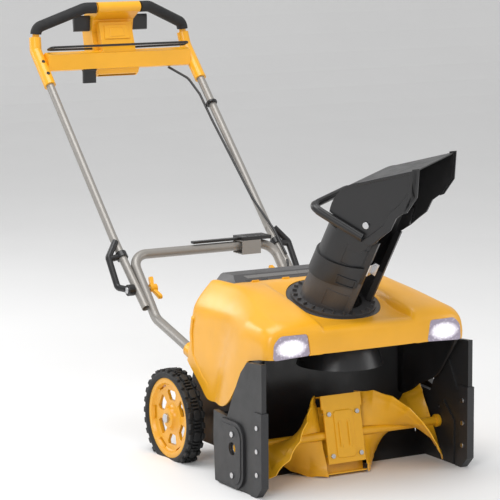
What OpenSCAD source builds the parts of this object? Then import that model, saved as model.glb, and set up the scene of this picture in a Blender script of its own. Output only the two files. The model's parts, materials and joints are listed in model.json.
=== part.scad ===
// Single-stage battery snow blower.
// The origin is on the ground, under the middle of the scraper bar. The mouth faces -Y,
// the handle stands at +Y, and left and right are -X and +X.
// Lengths that run along the machine are given as distances behind the front face of the
// cover, and back() turns them into y.

/* [Auger housing] */
// Inside width between the two side panels
clearing_w = 540; // [480:5:620]
// Thickness of a side panel
panel_t = 12; // [8:1:16]
// Height of a side panel
panel_h = 322; // [300:2:380]
// Depth of a side panel from front to back
panel_depth = 216; // [205:1:240]
// Wall of the housing sheet
sheet_t = 4; // [3:0.5:6]
// Diameter swept by the auger
auger_d = 190; // [150:2:200]
// Diameter of the auger shaft
shaft_d = 20; // [16:1:26]
// Height of the auger shaft above the ground
auger_z = 112; // [106:1:125]
// Distance of the auger shaft behind the front face
auger_back = 119; // [112:1:128]
// Gap between the auger and the housing behind it
scroll_gap = 11; // [6:1:16]
// Distance of the scraper edge behind the front face
scraper_back = 158; // [150:1:170]

/* [Wheels] */
// Outside diameter of a tyre
wheel_d = 236; // [200:2:280]
// Width of a tyre
tyre_w = 45; // [35:1:55]
// Diameter of the axle
axle_d = 12; // [10:1:16]
// Distance of the axle behind the front face
axle_back = 450; // [440:2:520]

/* [Chute] */
// Outside radius of the chute tube
chute_r = 77; // [60:1:82]
// Wall of the chute tube
chute_t = 4; // [3:0.5:6]
// Outside radius of the turning ring
ring_r = 99; // [94:1:104]
// Forward tilt of the ring, in degrees
chute_tilt = 17; // [8:1:20]
// Lean of the tube towards the side that it throws to, in degrees
chute_lean = 13; // [6:1:16]
// Turn of the chute away from straight ahead, in degrees
chute_turn = 28; // [0:1:60]
// Width of the open front of the tube
slot_w = 92; // [70:1:110]
// Outside width of the deflector
deflector_w = 168; // [160:2:190]

/* [Cover] */
// Half width of the lamp pods at the front of the cover
pod_half = 262; // [245:1:268]
// Half width of the cover ahead of the wheels
cover_half = 235; // [220:1:240]
// Wall of the moulded cover
cover_t = 4; // [3:0.5:6]
// Height of the top of the cover
cover_top = 447; // [440:1:470]
// Half width of the battery door
lid_half = 180; // [150:2:188]

/* [Handle] */
// Outside diameter of the upper tubes
upper_d = 21; // [18:1:25]
// Outside diameter of the lower frame tube
leg_d = 24; // [20:1:28]
// Wall of the steel tubes
tube_t = 1.8; // [1.2:0.2:3]
// Half distance between the upper tubes
upper_half = 222; // [205:1:240]
// Length of the upper tubes above their slight bend
upper_len = 514; // [420:2:620]
// Diameter of the foam grips
grip_d = 29; // [24:1:36]

/* [Hidden] */

$fn = 64;

// Fits
run_fit = 0.05;         // radial clearance of a running fit
bend_proud = 0.12;      // how far a bend stands proud of its straights
into_bend = 0.6;        // how far a straight runs into a bend
gap = 0.3;              // gap between pieces that lie against each other
eps = 0.5;              // overrun of a cutter

// Colours
black = "#1c1d1e";
dark = "#2c2d30";
grey = "#4a4b4f";
yellow = "#f2b211";
steel = "#9a9692";
zinc = "#c9cbce";
lamp = "#e9e4f2";

half_in = clearing_w / 2;
half_out = half_in + panel_t;
scroll_r = auger_d / 2 + scroll_gap;

function back(d) = d - scraper_back;
function unit(v) = v / norm(v);
function deg_between(u, v) = acos(max(-1, min(1, u * v)));

// Points of an arc, from angle a0 to a1
function arc(c, r, a0, a1, steps) =
    [for (i = [0:steps]) let (a = a0 + (a1 - a0) * i / steps) c + r * [cos(a), sin(a)]];

// A counter-clockwise outline moved inwards by t
function inset(p, t) = [for (i = [0:len(p) - 1])
    let (a = p[(i + len(p) - 1) % len(p)], b = p[i], c = p[(i + 1) % len(p)],
        u = unit(b - a), v = unit(c - b), nu = [-u[1], u[0]], nv = [-v[1], v[0]])
    b + (nu + nv) / (1 + nu * nv) * t];

// Side outline, drawn as [distance behind the front, height], pulled out along x
module slab(x0, x1) {
    translate([x0, -scraper_back, 0]) rotate([90, 0, 90]) linear_extrude(x1 - x0) children();
}

// Front outline, drawn as [x, height], pulled out from back distance d0 to d1
module front_slab(d0, d1) {
    translate([0, back(d1), 0]) rotate([90, 0, 0]) linear_extrude(d1 - d0) children();
}

module block(x, d, z) {
    translate([x[0], back(d[0]), z[0]]) cube([x[1] - x[0], d[1] - d[0], z[1] - z[0]]);
}

// A round bar along x
module bar_x(d, z, r, x0, x1) {
    translate([x0, back(d), z]) rotate([0, 90, 0]) cylinder(r = r, h = x1 - x0);
}

module rod(a, b, r) {
    v = b - a;
    translate(a) rotate([0, acos(v[2] / norm(v)), atan2(v[1], v[0])]) cylinder(r = r, h = norm(v));
}

function bend_trim(a, b, c, bend_r) = bend_r * tan(deg_between(unit(b - a), unit(c - b)) / 2);

// The round stretch where a bar turns at corner b, on its way from a to c
module bend(a, b, c, bend_r, r) {
    u = unit(b - a);
    v = unit(c - b);
    inward = unit(v - u * (u * v));
    side = cross(-inward, u);
    centre = b - u * bend_trim(a, b, c, bend_r) + inward * bend_r;
    multmatrix([
        [-inward[0], u[0], side[0], centre[0]],
        [-inward[1], u[1], side[1], centre[1]],
        [-inward[2], u[2], side[2], centre[2]],
        [0, 0, 0, 1]])
        rotate_extrude(angle = deg_between(u, v)) translate([bend_r, 0]) circle(r);
}

// A bar bent along a list of corners, with one bend radius for each inner corner.
// The bends stand a hair proud of the straights, which run a little way into them.
module bent_bar(p, bends, r) {
    last = len(p) - 1;
    trims = [for (i = [0:last]) i == 0 || i == last ? 0
        : bend_trim(p[i - 1], p[i], p[i + 1], bends[i - 1]) - into_bend];
    for (i = [0:last - 1]) {
        u = unit(p[i + 1] - p[i]);
        rod(p[i] + u * trims[i], p[i + 1] - u * trims[i + 1], r);
    }
    for (i = [1:last - 1]) bend(p[i - 1], p[i], p[i + 1], bends[i - 1], r + bend_proud);
}

// One piece and its mirror image
module both_sides() {
    children();
    mirror([1, 0, 0]) children();
}

// ---- Auger housing -------------------------------------------------------------

roof_z = panel_h + 16;
rear_wall = auger_back + scroll_r;
scroll_a0 = -60;
auger_c = [auger_back, auger_z];

funnel_back = auger_back + 8;
funnel_r = scroll_r - 6;
funnel_h = 62;
passage_r = chute_r;
roof_front = 46;
shoulder_z = 172;       // above this the housing is narrow, to stand inside the cover

module auger_housing() color(black) {
    difference() {
        slab(-half_in, half_in) difference() {
            polygon(concat(
                arc(auger_c, scroll_r + sheet_t, scroll_a0, 0, 14),
                [[rear_wall + sheet_t, roof_z + sheet_t], [roof_front, roof_z + sheet_t], [roof_front, roof_z - 2]]));
            polygon(concat(arc(auger_c, scroll_r, scroll_a0 - 20, 0, 18),
                [[rear_wall, roof_z], [-20, roof_z], [-20, -20]]));
        }
        both_sides() block([cover_half - cover_t - 2, half_in + eps], [20, 300], [shoulder_z, roof_z + 20]);
        translate([0, back(funnel_back), roof_z - eps]) cylinder(r = passage_r, h = sheet_t + 2 * eps);
    }
    // Flared skirt that hangs from the roof around the way up to the chute
    translate([0, back(funnel_back), roof_z - funnel_h]) difference() {
        cylinder(r1 = funnel_r, r2 = passage_r + sheet_t, h = funnel_h);
        translate([0, 0, -0.01]) cylinder(r1 = funnel_r - sheet_t, r2 = passage_r, h = funnel_h + 0.02);
    }
}

panel_bottom = 6;
panel_edge = [
    [0, 45], [38, panel_bottom], [panel_depth - 8, panel_bottom], [panel_depth - 4, 24],
    [panel_depth + 2, 120], [panel_depth, 183], [154, 178], [131, 226], [92, 290],
    [64, panel_h - 5], [0, panel_h]];
bearing_r = shaft_d / 2 + 7;
bearing_w = 10;

module side_panel() {
    difference() {
        slab(half_in, half_out) polygon(panel_edge);
        bar_x(auger_back, auger_z, bearing_r + 1, half_in - eps, half_out + eps);
        guard_bolts(half_in - eps, half_out + eps, 3.2);
        for (z = shoe_bolt_z) bar_x(shoe_back, z, 3.2, half_in - eps, half_out + eps);
    }
    // Ring that carries the bearing
    difference() {
        bar_x(auger_back, auger_z, bearing_r + 6, half_in, half_out);
        bar_x(auger_back, auger_z, bearing_r, half_in + 1.5, half_out + eps);
        bar_x(auger_back, auger_z, bearing_r - 3, half_in - eps, half_out + eps);
    }
    // Pressed ribs on the inside
    slab(half_in - 3, half_in) polygon([[52, 20], [60, 20], [60, 120], [100, 160], [96, 166], [52, 124]]);
    slab(half_in - 3, half_in) polygon([[40, 200], [48, 200], [84, 268], [78, 272]]);
}
module side_panel_right() color(black) side_panel();
module side_panel_left() color(black) mirror([1, 0, 0]) side_panel();

guard_t = 3;
guard_edge = [[-guard_t, 44], [39, 1.5], [70, 1.5], [70, 5.5], [48, 14], [30, 60], [30, 212],
    [-guard_t, 212]];

// Wear strip folded round the lower front corner of a side panel
module edge_guard() {
    difference() {
        slab(half_in - guard_t - gap, half_out + guard_t + gap) polygon(guard_edge);
        slab(half_in - gap, half_out + gap) polygon([[-gap, 44.6], [37.8, 5.6], [120, 5.6], [120, 260], [-gap, 260]]);
        block([half_in - 20, half_out + eps], [48, 80], [-eps, 30]);
        guard_bolts(half_in - 30, half_out + 30, 3.2);
    }
}
module edge_guard_right() color(dark) edge_guard();
module edge_guard_left() color(dark) mirror([1, 0, 0]) edge_guard();

guard_bolt_z = [72, 125, 178];
module guard_bolts(x0, x1, r) {
    for (z = guard_bolt_z) bar_x(16, z, r, x0, x1);
}

shoe_t = 6;
shoe_bolt_z = [51, 145];
shoe_back = 118;
shoe_edge = concat(arc([112, 60], 38, -90, -180, 8), arc([112, 136], 38, 180, 90, 8),
    [[170, 174], [188, 150], [188, 22]]);

// Wear shoe bolted to the outside of a side panel, with standoffs behind it
module skid_shoe() {
    difference() {
        union() {
            slab(half_out + gap, half_out + shoe_t) polygon([for (i = [len(shoe_edge) - 1:-1:0]) shoe_edge[i]]);
            slab(half_out + shoe_t, half_out + shoe_t + 2)
                polygon(inset([for (i = [len(shoe_edge) - 1:-1:0]) shoe_edge[i]], 9));
        }
        for (z = shoe_bolt_z) bar_x(shoe_back, z, 3.2, half_out - eps, half_out + shoe_t + 3);
        bar_x(auger_back, auger_z, bearing_r - 2, half_out - eps, half_out + shoe_t + 3);
    }
}
module skid_shoe_right() color(dark) skid_shoe();
module skid_shoe_left() color(dark) mirror([1, 0, 0]) skid_shoe();

module housing_bolts() color(zinc) both_sides() {
    for (z = guard_bolt_z) {
        bar_x(16, z, 3, half_in - guard_t - gap, half_out + guard_t + gap);
        bar_x(16, z, 5.5, half_in - guard_t - gap - 3, half_in - guard_t - gap);
        bar_x(16, z, 5.5, half_out + guard_t + gap, half_out + guard_t + gap + 2.5);
    }
    for (z = shoe_bolt_z) {
        bar_x(shoe_back, z, 3, half_in + 2, half_out + shoe_t + 2);
        bar_x(shoe_back, z, 6.5, half_out + shoe_t + 2, half_out + shoe_t + 5);
    }
}

// Blade that scrapes the ground, screwed between the side panels
module scraper_bar() color(dark)
    slab(-half_in, half_in) polygon([[scraper_back - 13, 0], [scraper_back + 5, 0],
        [scraper_back + 20, 12], [scraper_back + 17, 15.5], [scraper_back + 3, 5], [scraper_back - 13, 5]]);

// ---- Cover ---------------------------------------------------------------------

chute_c = [0, back(154), 420];
ring_back = 154;
valley_w = 128;
roof_seat = roof_z + sheet_t + gap;
core_side = [
    [2, 334], [42, 334], [42, roof_seat], [rear_wall + sheet_t + 1, roof_seat],
    [rear_wall + sheet_t + 1, 180], [326, 176], [346, 205], [427, 255], [407, 316], [398, 401],
    [392, cover_top], [292, cover_top], [250, 442], [150, 414], [60, 389], [12, 383]];
core_front = [
    [-cover_half, 0], [cover_half, 0], [cover_half, 400], [cover_half - 46, cover_top],
    [46 - cover_half, cover_top], [-cover_half, 400]];
pod_side = [[0, 328], [64, 320], [95, 314], [187, 174], [247, 194], [134, 384], [126, 405], [26, 405],
    [14, 396], [6, 380]];
pod_front = [
    [-pod_half, 0], [pod_half, 0], [pod_half, 362], [pod_half - 22, 397], [valley_w, 405],
    [-valley_w, 405], [22 - pod_half, 397], [-pod_half, 362]];
lamp_edge = [[155, 330], [250, 326], [248, 362], [231, 380], [163, 380]];
ring_seat_r = ring_r + 10;

module on_chute_base() translate(chute_c) rotate([chute_tilt, 0, 0]) children();
module turned() on_chute_base() rotate([0, 0, chute_turn]) children();

module hood_volume(t) {
    intersection() {
        slab(-cover_half + t, cover_half - t) polygon(inset(core_side, t));
        front_slab(-20, 460) polygon(inset(core_front, t));
    }
    intersection() {
        slab(-pod_half + t, pod_half - t) polygon(inset(pod_side, t));
        front_slab(-20, 300) polygon(inset(pod_front, t));
    }
}

lid_d = [296, 396];
lid_z = [428, 464];

module hood() color(yellow) {
    difference() {
        union() {
            difference() {
                hood_volume(0);
                hood_volume(cover_t);
            }
            // Floor of the hollow that the chute turns in
            intersection() {
                slab(-valley_w - 4, valley_w + 4)
                    polygon([[12, 379], [262, 447], [262, 442], [12, 373]]);
                hood_volume(0);
            }
            // Cheeks of the hollow
            intersection() {
                both_sides() slab(valley_w, valley_w + 4)
                    polygon([[10, 360], [250, 420], [250, 470], [10, 470]]);
                hood_volume(0);
            }
        }
        // The hollow itself
        slab(-valley_w, valley_w) polygon([[-20, 377], [12, 382], [262, 450], [262, 520], [-20, 520]]);
        on_chute_base() translate([0, 0, -60]) cylinder(r = ring_seat_r + 1, h = 90);
        on_chute_base() rotate([0, 0, 180]) translate([ring_seat_r - 20, -14, -30]) cube([48, 28, 60]);
        // Open underside
        slab(-cover_half + cover_t, cover_half - cover_t)
            polygon([[8, 300], [8, roof_seat + cover_t + 1], [rear_wall + 14, roof_seat + cover_t + 1],
                [rear_wall + 14, 240], [340, 240], [402, 262], [418, 240], [430, 100], [0, 100]]);
        slab(-pod_half + cover_t, pod_half - cover_t)
            polygon([[cover_t, 300], [cover_t, 345], [90, 345], [210, 200], [240, 180], [240, 100], [0, 100]]);
        // Door opening
        block([-lid_half - gap, lid_half + gap], [lid_d[0] - gap, 420], [lid_z[0], 500]);
        block([-lid_half + 6, lid_half - 6], [lid_d[0] + 8, 388], [380, 500]);
        for (x = lid_knuckles) bar_x(hinge_d, hinge_z, hinge_sweep, x - 13.5, x + 13.5);
        bar_x(hinge_d, hinge_z, pin_r + 1, -141, 141);
        // Lamp openings
        both_sides() front_slab(-20, 22) polygon(inset(lamp_edge, -gap));
        // Motor shaft
        bar_x(motor_back, motor_z, 9, 200, 280);
        // Lower frame
        both_sides() bar_leg_hole();
    }
    // Shelf under the door
    difference() {
        slab(-lid_half - 2, lid_half + 2) polygon([[lid_d[0] - 3, 420], [400, 420], [400, 424], [lid_d[0] - 3, 424]]);
        block([-lid_half + 6, lid_half - 6], [lid_d[0] + 8, 388], [380, 500]);
    }
    // Hinge knuckles
    for (x = hood_knuckles) difference() {
        bar_x(hinge_d, hinge_z, hinge_r, x - 10, x + 10);
        bar_x(hinge_d, hinge_z, pin_r + run_fit, x - 11, x + 11);
    }
}
hinge_d = lid_d[0] - 2;
hinge_z = cover_top + 1;
hinge_r = 5.5;
pin_r = 2.5;
hinge_sweep = hinge_r + 2.5;
hood_knuckles = [-128, -46, 46, 128];
lid_knuckles = [-105, 0, 105];

module side_vent() color(dark)
    slab(cover_half + gap, cover_half + 10) polygon([[190, 386], [270, 388], [262, 396], [205, 398]]);

lens_t = 3;
module lamp_lens() {
    front_slab(3, 3 + lens_t) polygon(lamp_edge);
    front_slab(3 + lens_t, 16) difference() {
        polygon(lamp_edge);
        polygon(inset(lamp_edge, 2));
    }
}
module lamp_lens_right() color(lamp) lamp_lens();
module lamp_lens_left() color(lamp) mirror([1, 0, 0]) lamp_lens();

module lamp_modules() color(zinc) both_sides() {
    front_slab(16.2, 30) polygon(inset(lamp_edge, 1));
    for (i = [0:4]) translate([178 + 13 * i, back(16.2), 354]) rotate([90, 0, 0]) cylinder(r = 5, h = 6, $fn = 24);
}

// ---- Chassis -------------------------------------------------------------------

tub_half = 200;
tub_side = [[rear_wall + sheet_t + 2, 60], [axle_back - 20, 60], [axle_back + 26, 96],
    [axle_back + 26, 180], [axle_back + 4, 238], [410, 246], [rear_wall + sheet_t + 2, 246]];
motor_back = 292;
motor_z = 196;
motor_r = 44;

module chassis_tub() color(black) difference() {
    slab(-tub_half, tub_half) polygon(tub_side);
    slab(-tub_half + 5, tub_half - 5) polygon(inset(tub_side, 5));
    bar_x(axle_back, wheel_d / 2, axle_d / 2 + run_fit, -tub_half - eps, tub_half + eps);
    bar_x(motor_back, motor_z, 10, tub_half - 10, tub_half + eps);
    block([-lid_half + 2, lid_half - 2], [lid_d[0], 396], [240, 250]);
}

tray_t = 3;
module battery_tray() color(black) difference() {
    block([-lid_half + 8, lid_half - 8], [lid_d[0] + 6, 389], [252, 419]);
    block([-lid_half + 8 + tray_t, -tray_t], [lid_d[0] + 6 + tray_t, 389 - tray_t], [256, 430]);
    block([tray_t, lid_half - 8 - tray_t], [lid_d[0] + 6 + tray_t, 389 - tray_t], [256, 430]);
}

pack_w = 148;
module batteries() color(black) for (s = [-1, 1]) translate([s * lid_half / 2, 0, 0]) {
    block([-pack_w / 2, pack_w / 2], [lid_d[0] + 12, 383], [256, 372]);
    block([-pack_w / 2 + 22, pack_w / 2 - 22], [lid_d[0] + 18, 377], [372, 400]);
    block([-26, 26], [lid_d[0] + 30, 365], [400, 408]);
}

lid_side = [[lid_d[0] + 4, lid_z[0]], [lid_d[1] + 2, lid_z[0]], [lid_d[1] - 2, lid_z[1] - 4],
    [lid_d[1] - 8, lid_z[1]], [lid_d[0] + 44, lid_z[1]], [lid_d[0] + 4, 446]];
lid_front = [[-lid_half, 0], [lid_half, 0], [lid_half, 436], [lid_half - 22, lid_z[1]],
    [22 - lid_half, lid_z[1]], [-lid_half, 436]];
lid_wall = 3;

module lid_volume(t) intersection() {
    slab(-lid_half + t, lid_half - t) polygon(inset(lid_side, t));
    front_slab(200, 460) polygon(inset(lid_front, t));
}
module battery_lid() color(grey) {
    difference() {
        lid_volume(0);
        lid_volume(lid_wall);
        block([-lid_half + lid_wall, lid_half - lid_wall], [lid_d[0] + 7, lid_d[1] - 2], [lid_z[0] - 1, lid_z[0] + 4]);
        for (x = hood_knuckles) bar_x(hinge_d, hinge_z, hinge_sweep, x - 11, x + 11);
    }
    for (x = lid_knuckles) difference() {
        union() {
            bar_x(hinge_d, hinge_z, hinge_r - 0.5, x - 12, x + 12);
            block([x - 12, x + 12], [hinge_d, lid_d[0] + 6], [hinge_z - 4, hinge_z + 4]);
        }
        bar_x(hinge_d, hinge_z, pin_r + run_fit, x - 13, x + 13);
    }
}

module lid_hinge_pin() color(zinc) bar_x(hinge_d, hinge_z, pin_r, -140, 140);

// ---- Auger drive ---------------------------------------------------------------

cover_x = half_out + shoe_t + 2 + gap;
hub_r = 13;
belt_x = cover_x + 4;
belt_w = 10;
driven_r = 46;
drive_r = 16;
drive_span = norm([motor_back - auger_back, motor_z - auger_z]);
drive_angle = atan2(motor_z - auger_z, motor_back - auger_back);

module drive_frame() translate([0, back(auger_back), auger_z]) rotate([drive_angle, 0, 0]) rotate([90, 0, 90]) children();

// Outline of a belt loop round the two pulleys, grown by t
module belt_outline(t) {
    lean = asin((driven_r - drive_r) / drive_span);
    polygon(concat(
        arc([0, 0], driven_r + t, 90 - lean, 270 + lean, 24),
        arc([drive_span, 0], drive_r + t, -90 + lean, 90 - lean, 12)));
}

module drive_cover() color(black) {
    difference() {
        translate([cover_x, 0, 0]) drive_frame() linear_extrude(belt_w + 10) belt_outline(9);
        translate([cover_x - eps, 0, 0]) drive_frame() linear_extrude(belt_w + 7 + eps) belt_outline(6);
        for (z = shoe_bolt_z) bar_x(shoe_back, z, 8, cover_x - eps, cover_x + 3.2);
    }
    difference() {
        bar_x(motor_back, motor_z, 26, cover_half + gap, cover_x);
        bar_x(motor_back, motor_z, 23, cover_half, cover_x + eps);
    }
}

module drive_motor() color(grey) {
    difference() {
        union() {
            bar_x(motor_back, motor_z, motor_r, 50, 170);
            bar_x(motor_back, motor_z, motor_r - 14, 170, 194);
            block([60, 160], [motor_back - 20, motor_back + 20], [65, motor_z]);
        }
        bar_x(motor_back, motor_z, 5 + run_fit, 100, 195);
    }
}

module motor_pulley() color(zinc) {
    bar_x(motor_back, motor_z, 5, 102, belt_x);
    bar_x(motor_back, motor_z, drive_r - 0.2, belt_x, belt_x + belt_w);
}

belt_t = 4;
module drive_belt() color(black) translate([belt_x + 1, 0, 0]) drive_frame()
    linear_extrude(belt_w - 2) difference() {
        belt_outline(belt_t);
        belt_outline(0);
    }

module driven_pulley() color(zinc) difference() {
    union() {
        bar_x(auger_back, auger_z, driven_r - 0.2, belt_x, belt_x + belt_w);
        bar_x(auger_back, auger_z, hub_r, half_out + gap, belt_x + belt_w);
    }
    bar_x(auger_back, auger_z, shaft_d / 2, half_out, belt_x + belt_w + eps);
}

module shaft_bearings() color(zinc) both_sides() difference() {
    bar_x(auger_back, auger_z, bearing_r, half_in + 1.5, half_in + 1.5 + bearing_w);
    bar_x(auger_back, auger_z, shaft_d / 2 + run_fit, half_in, half_in + bearing_w + 3);
}

// ---- Auger ---------------------------------------------------------------------

module auger_shaft() color(yellow) {
    bar_x(auger_back, auger_z, shaft_d / 2, -half_out + 1, belt_x + belt_w);
    both_sides() difference() {
        bar_x(auger_back, auger_z, shaft_d / 2 + 5, half_in - 10, half_in - 1);
        bar_x(auger_back, auger_z, shaft_d / 2, half_in - 11, half_in);
    }
}

paddle_half = 54;
flight_end = half_in - 16;
flight_t = 3;
flight_turn = 170;
flight_steps = 22;
scallops = 7;

// Outer radius of a flight at a share s of its length, with a scalloped edge
function flight_r(s) = auger_d / 2 * (1 - 0.05 * abs(sin(180 * scallops * s)));
function flight_point(s, r, start, dx) =
    let (a = start + flight_turn * s)
    [paddle_half + (flight_end - paddle_half) * s + dx, r * cos(a), r * sin(a)];

// One screw-shaped flight, from the shaft out to the scalloped edge
module flight(start) translate([0, back(auger_back), auger_z]) {
    inner = shaft_d / 2 + gap;
    ring = [for (i = [0:flight_steps]) let (s = i / flight_steps) each [
        flight_point(s, inner, start, 0), flight_point(s, flight_r(s), start, 0),
        flight_point(s, flight_r(s), start, flight_t), flight_point(s, inner, start, flight_t)]];
    faces = concat([[3, 2, 1, 0]],
        [for (i = [0:flight_steps - 1], k = [0:3]) let (a = 4 * i + k, b = 4 * i + (k + 1) % 4)
            each k == 2 ? [[a, b, b + 4], [a, b + 4, a + 4]] : [[a, b, a + 4], [b, b + 4, a + 4]]],
        [[for (k = [0:3]) 4 * flight_steps + k]]);
    polyhedron(ring, faces);
}

module flight_pair() {
    flight(70);
    flight(250);
    difference() {
        bar_x(auger_back, auger_z, shaft_d / 2 + 4, 150, 190);
        bar_x(auger_back, auger_z, shaft_d / 2, 149, 191);
    }
}
module auger_flight_right() color(yellow) flight_pair();
module auger_flight_left() color(yellow) mirror([1, 0, 0]) flight_pair();

paddle_t = 4;
paddle_tilt = 12;
module paddle_frame() translate([0, back(auger_back), auger_z]) rotate([-paddle_tilt, 0, 0]) children();

// Two plates that clamp the shaft, with their throwing edges bent back
module auger_paddles() color(yellow) paddle_frame() difference() {
    union() for (s = [0, 180]) rotate([s, 0, 0]) {
        translate([-paddle_half + 4, -shaft_d / 2 - paddle_t, -66]) cube([2 * paddle_half - 8, paddle_t, 132]);
        translate([-paddle_half, -shaft_d / 2 - paddle_t, 60]) cube([2 * paddle_half, paddle_t, auger_d / 2 - 64]);
        translate([-paddle_half, -shaft_d / 2 - paddle_t, auger_d / 2 - 8]) cube([2 * paddle_half, 22, 3]);
    }
    translate([-paddle_half - 1, 0, 0]) rotate([0, 90, 0]) cylinder(r = shaft_d / 2, h = 2 * paddle_half + 2);
    for (x = [-38, 38], z = [-48, 48]) translate([x, -30, z]) rotate([-90, 0, 0]) cylinder(r = 3, h = 60);
}

module auger_bolts() color(zinc) paddle_frame()
    for (x = [-38, 38], z = [-48, 48]) translate([x, 0, z]) {
        reach = shaft_d / 2 + paddle_t;
        rotate([90, 0, 0]) translate([0, 0, -reach - 3]) cylinder(r = 3, h = 2 * reach + 6);
        for (s = [0, 180]) rotate([90 + s, 0, 0]) translate([0, 0, reach]) cylinder(r = 5.8, h = 4.5, $fn = 6);
    }

// ---- Chute ---------------------------------------------------------------------

spigot_r = 70;
base_t = 9;
ring_t = 6;

// Fixed seat of the turning chute, with the way up from the auger housing below it
module chute_base() color(grey) difference() {
    union() {
        on_chute_base() translate([0, 0, -base_t - gap]) cylinder(r = ring_seat_r, h = base_t);
        on_chute_base() rotate([0, 0, 180]) translate([ring_seat_r - 20, -13, -base_t - gap]) cube([46, 26, base_t]);
        difference() {
            translate([0, back(ring_back - 6), roof_seat]) cylinder(r = passage_r + sheet_t, h = 110);
            on_chute_base() translate([-200, -200, -base_t]) cube([400, 400, 200]);
        }
    }
    difference() {
        translate([0, back(ring_back - 6), roof_seat - eps]) cylinder(r = passage_r, h = 110);
        on_chute_base() translate([-200, -200, -base_t - gap]) cube([400, 400, 200]);
    }
    on_chute_base() translate([0, 0, -40]) cylinder(r = spigot_r + run_fit, h = 60);
}

collar_z = [74, 126];
tube_split = 86;
pivot_u = 93;
pivot_z = 242;
drum_r = 97;

// The leaning tube, open in front, between two heights above the ring
module chute_tube(r, z0, z1) intersection() {
    difference() {
        rotate([chute_lean, 0, 0]) translate([0, 0, -60]) cylinder(r = r, h = 460);
        rotate([chute_lean, 0, 0]) translate([0, 0, -61]) cylinder(r = chute_r - chute_t, h = 462);
        rotate([chute_lean, 0, 0]) translate([-slot_w / 2, -200, -61]) cube([slot_w, 200, 462]);
    }
    translate([-200, -300, z0]) cube([400, 500, z1 - z0]);
}

// Rims along the open front of the tube
module slot_rims(z0, z1) intersection() {
    both_sides() rotate([chute_lean, 0, 0]) translate([slot_w / 2, -chute_r + 8, -20]) cube([8, 14, 420]);
    translate([-200, -300, z0]) cube([400, 500, z1 - z0]);
}

module chute_lower() color(dark) turned() {
    difference() {
        union() {
            cylinder(r = ring_r, h = ring_t);
            translate([0, 0, -base_t - 2]) cylinder(r = spigot_r, h = base_t + 3);
        }
        translate([0, 0, -30]) cylinder(r = spigot_r - 4, h = 60);
    }
    chute_tube(chute_r, 0.5, tube_split);
    slot_rims(ring_t - 1, tube_split);
    // Fins on the ring
    for (a = [0:15:345]) rotate([0, 0, a]) translate([chute_r + 9, -1.2, ring_t - 1]) cube([ring_r - chute_r - 12, 2.4, 7]);
}

ear_edge = [[44, 168], [84, 168], [122, 208], [124, 250], [108, 262], [78, 262], [52, 240]];

module across(x0, x1) translate([x0, 0, 0]) rotate([90, 0, 90]) linear_extrude(x1 - x0) mirror([1, 0]) children();

// Band over the joint between the two halves of the tube
module collar(bore, z) intersection() {
    rotate([chute_lean, 0, 0]) difference() {
        cylinder(r = chute_r + 5, h = 200);
        translate([0, 0, -1]) cylinder(r = bore, h = 300);
        translate([-slot_w / 2 - 8, -200, -61]) cube([slot_w + 16, 200, 462]);
    }
    translate([-200, -300, z[0]]) cube([400, 500, z[1] - z[0]]);
}

module chute_upper() color(black) turned() difference() {
    union() {
        chute_tube(chute_r, tube_split + gap, 200);
        slot_rims(tube_split + gap, 196);
        // Back of the tube inside the drum of the deflector
        intersection() {
            chute_tube(chute_r, 199, 300);
            across(-100, 100) translate([pivot_u, pivot_z]) circle(drum_r - 9);
        }
        collar(chute_r - 1, [tube_split + gap, collar_z[1]]);
        collar(chute_r + gap, [collar_z[0], tube_split + gap + 1]);
        both_sides() across(chute_r - 6, chute_r) polygon(ear_edge);
    }
    across(-100, 100) translate([pivot_u, pivot_z]) circle(4 + run_fit);
    across(-chute_r + 6, chute_r - 6) translate([pivot_u, pivot_z]) circle(9);
}

module chute_latch() color(zinc) turned() {
    rotate([chute_lean, 0, 0]) translate([-slot_w / 2 - 8, -chute_r + 4, 130]) cube([24, 3, 30]);
    rotate([chute_lean, 0, 0]) translate([-slot_w / 2 + 13, -chute_r - 5, 130]) cube([3, 10, 30]);
}

deflector_t = 4;
deflector_edge = concat(
    [[103, 196], [119, 205], [135, 227], [153, 250], [162, 282], [183, 307], [200, 347], [192, 408]],
    arc([pivot_u, pivot_z], drum_r, 112, 180, 12),
    [[40, 226], [80, 199]]);
deflector_room = concat(
    [[-20, pivot_z - 70], [240, pivot_z - 70], [240, 428], [188, 403]],
    arc([pivot_u, pivot_z], drum_r - deflector_t, 112, 180, 12), [[-10, pivot_z - 2]]);

module deflector() color(black) turned() {
    half = deflector_w / 2;
    difference() {
        across(-half, half) polygon(deflector_edge);
        across(-half + deflector_t, half - deflector_t) polygon(deflector_room);
        across(-half - 1, half + 1) translate([pivot_u, pivot_z]) circle(4 + run_fit);
    }
    // Rim round the mouth
    both_sides() across(half, half + 3) polygon([[176, 297], [186, 304], [204, 347], [196, 412], [180, 405], [190, 348]]);
    // Handle round the back
    bent_bar([[half + 4, -92, 212], [half + 4, 50, 240], [-half - 4, 50, 240], [-half - 4, -92, 212]], [20, 20], 8);
}

module deflector_bolts() color(zinc) turned() both_sides() {
    half = deflector_w / 2;
    across(chute_r - 10, half + 2) translate([pivot_u, pivot_z]) circle(4);
    across(half, half + 5) translate([pivot_u, pivot_z]) circle(8);
    across(chute_r - 12, chute_r - 6 - gap) translate([pivot_u, pivot_z]) circle(7);
}

// ---- Wheels --------------------------------------------------------------------

wheel_z = wheel_d / 2;
wheel_x = half_out - 1;
rim_r = wheel_d / 2 - 23;
wheel_in = wheel_x - tyre_w;

module axle() color(zinc) {
    bar_x(axle_back, wheel_z, axle_d / 2, -wheel_x - 2, wheel_x + 2);
    both_sides() bar_x(axle_back, wheel_z, axle_d / 2 + 4, tub_half + gap, wheel_in + 1);
}

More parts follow.
